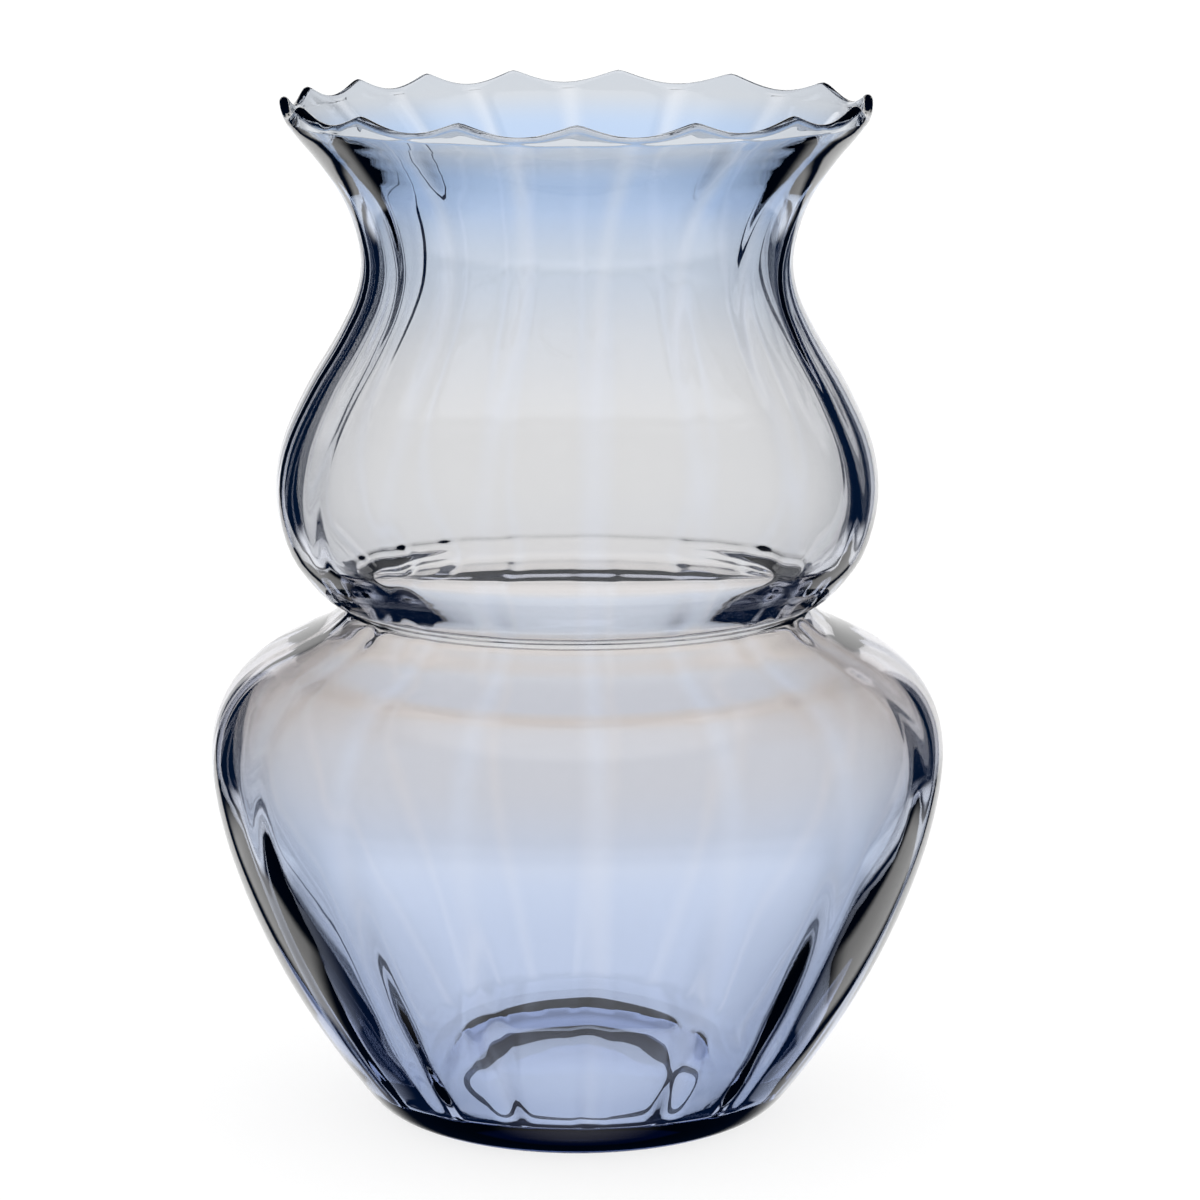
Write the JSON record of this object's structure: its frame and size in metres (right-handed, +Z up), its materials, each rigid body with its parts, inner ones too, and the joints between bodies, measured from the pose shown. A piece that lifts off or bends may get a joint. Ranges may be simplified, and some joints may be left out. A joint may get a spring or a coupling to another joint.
{
  "type": "blown glass vase",
  "caption": "Double-bulb blown glass vase with a pinched waist, optic ribs inside the wall, a flared scalloped rim and a heavy rounded base.",
  "frame": {"origin": "centre of the standing ring under the base, in the plane of the table", "axes": "+Z up along the axis of the vase, -Y towards the picture's viewer, +X to the viewer's right"},
  "size_m": [0.179, 0.179, 0.25],
  "materials": {
    "glass": "clear, fire polished, blue at the neck and the base"
  },
  "bodies": {
    "root": {"glass_body": "glass"}
  },
  "joints": []
}
